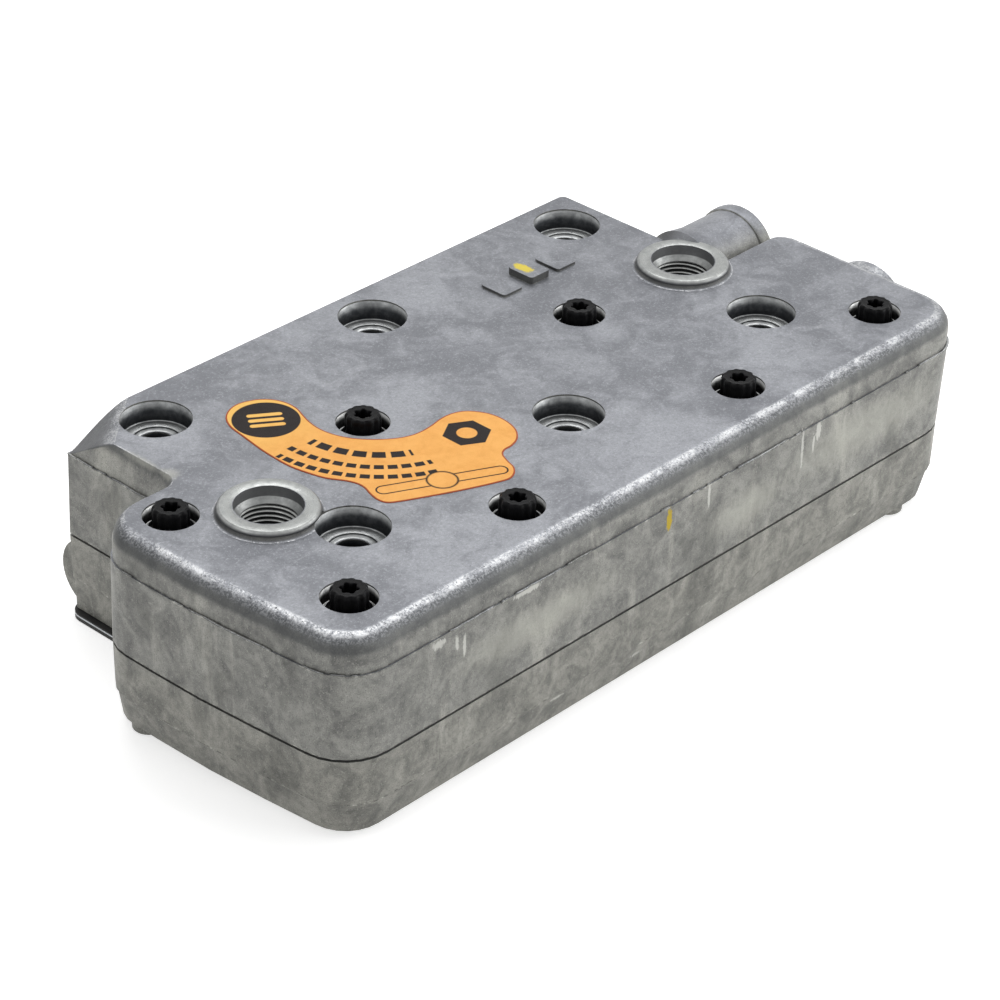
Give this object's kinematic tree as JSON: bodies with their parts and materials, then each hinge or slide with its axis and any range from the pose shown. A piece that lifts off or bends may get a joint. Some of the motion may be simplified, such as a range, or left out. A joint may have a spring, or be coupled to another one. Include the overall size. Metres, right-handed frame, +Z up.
{
  "type": "compressor cylinder head",
  "caption": "Water-cooled two-piece aluminium head of a twin-cylinder piston compressor, with reed valves, hose stub and gaskets.",
  "frame": {"origin": "on the block face, which is the underside of the lowest gasket, midway between the six head-bolt holes", "axes": "+X along the head towards the hose stub, +Y to the rear where the gallery bulges out, +Z up through the head, away from the block"},
  "size_m": [0.2754, 0.1463, 0.0697],
  "materials": {
    "cast_upper": "sand-cast skin, mottled and slightly worn at the edges",
    "cast_lower": "sand-cast skin, darker and oily",
    "gasket": "coated sheet, matt black",
    "black_steel": "blackened, slightly oily",
    "ground_steel": "ground",
    "plated_steel": "zinc plated",
    "seat_steel": "hardened and lapped",
    "spring_steel": "polished strip",
    "stop_steel": "bare forging, dark",
    "label_film": "printed film, matt"
  },
  "bodies": {
    "head": {"upper_head": "cast_upper", "head_gasket": "gasket", "lower_head": "cast_lower", "clamp_screws": "black_steel", "dowel_sleeves": "ground_steel", "core_plugs": "plated_steel", "delivery_seat_1": "seat_steel", "delivery_seat_2": "seat_steel", "delivery_root_1": "spring_steel", "delivery_root_2": "spring_steel", "delivery_stop_1": "stop_steel", "delivery_stop_2": "stop_steel", "delivery_screws": "black_steel", "suction_seat_1": "seat_steel", "suction_seat_2": "seat_steel", "leaf_gasket": "gasket", "suction_leaf_sheet": "spring_steel", "block_gasket": "gasket", "label": "label_film"},
    "delivery_reed_1": {"delivery_reed_1": "spring_steel"},
    "delivery_reed_2": {"delivery_reed_2": "spring_steel"},
    "suction_reed_1": {"suction_reed_1": "spring_steel"},
    "suction_reed_2": {"suction_reed_2": "spring_steel"}
  },
  "joints": [
    {"name": "delivery_reed_1_lift", "type": "hinge", "parent": "head", "child": "delivery_reed_1", "pos_m": [-0.0607, -0.021, 0.0282], "axis": [0, -1, 0], "range_deg": [0, 2.8], "stiffness_Nm_per_rad": 1.35},
    {"name": "delivery_reed_2_lift", "type": "hinge", "parent": "head", "child": "delivery_reed_2", "pos_m": [0.0607, -0.021, 0.0282], "axis": [0, 1, 0], "range_deg": [0, 2.8], "stiffness_Nm_per_rad": 1.35},
    {"name": "suction_reed_1_drop", "type": "hinge", "parent": "head", "child": "suction_reed_1", "pos_m": [-0.0712, 0.0185, 0.00155], "axis": [0, 1, 0], "range_deg": [0, 2.5], "stiffness_Nm_per_rad": 0.7},
    {"name": "suction_reed_2_drop", "type": "hinge", "parent": "head", "child": "suction_reed_2", "pos_m": [0.0712, 0.0185, 0.00155], "axis": [0, -1, 0], "range_deg": [0, 2.5], "stiffness_Nm_per_rad": 0.7}
  ]
}
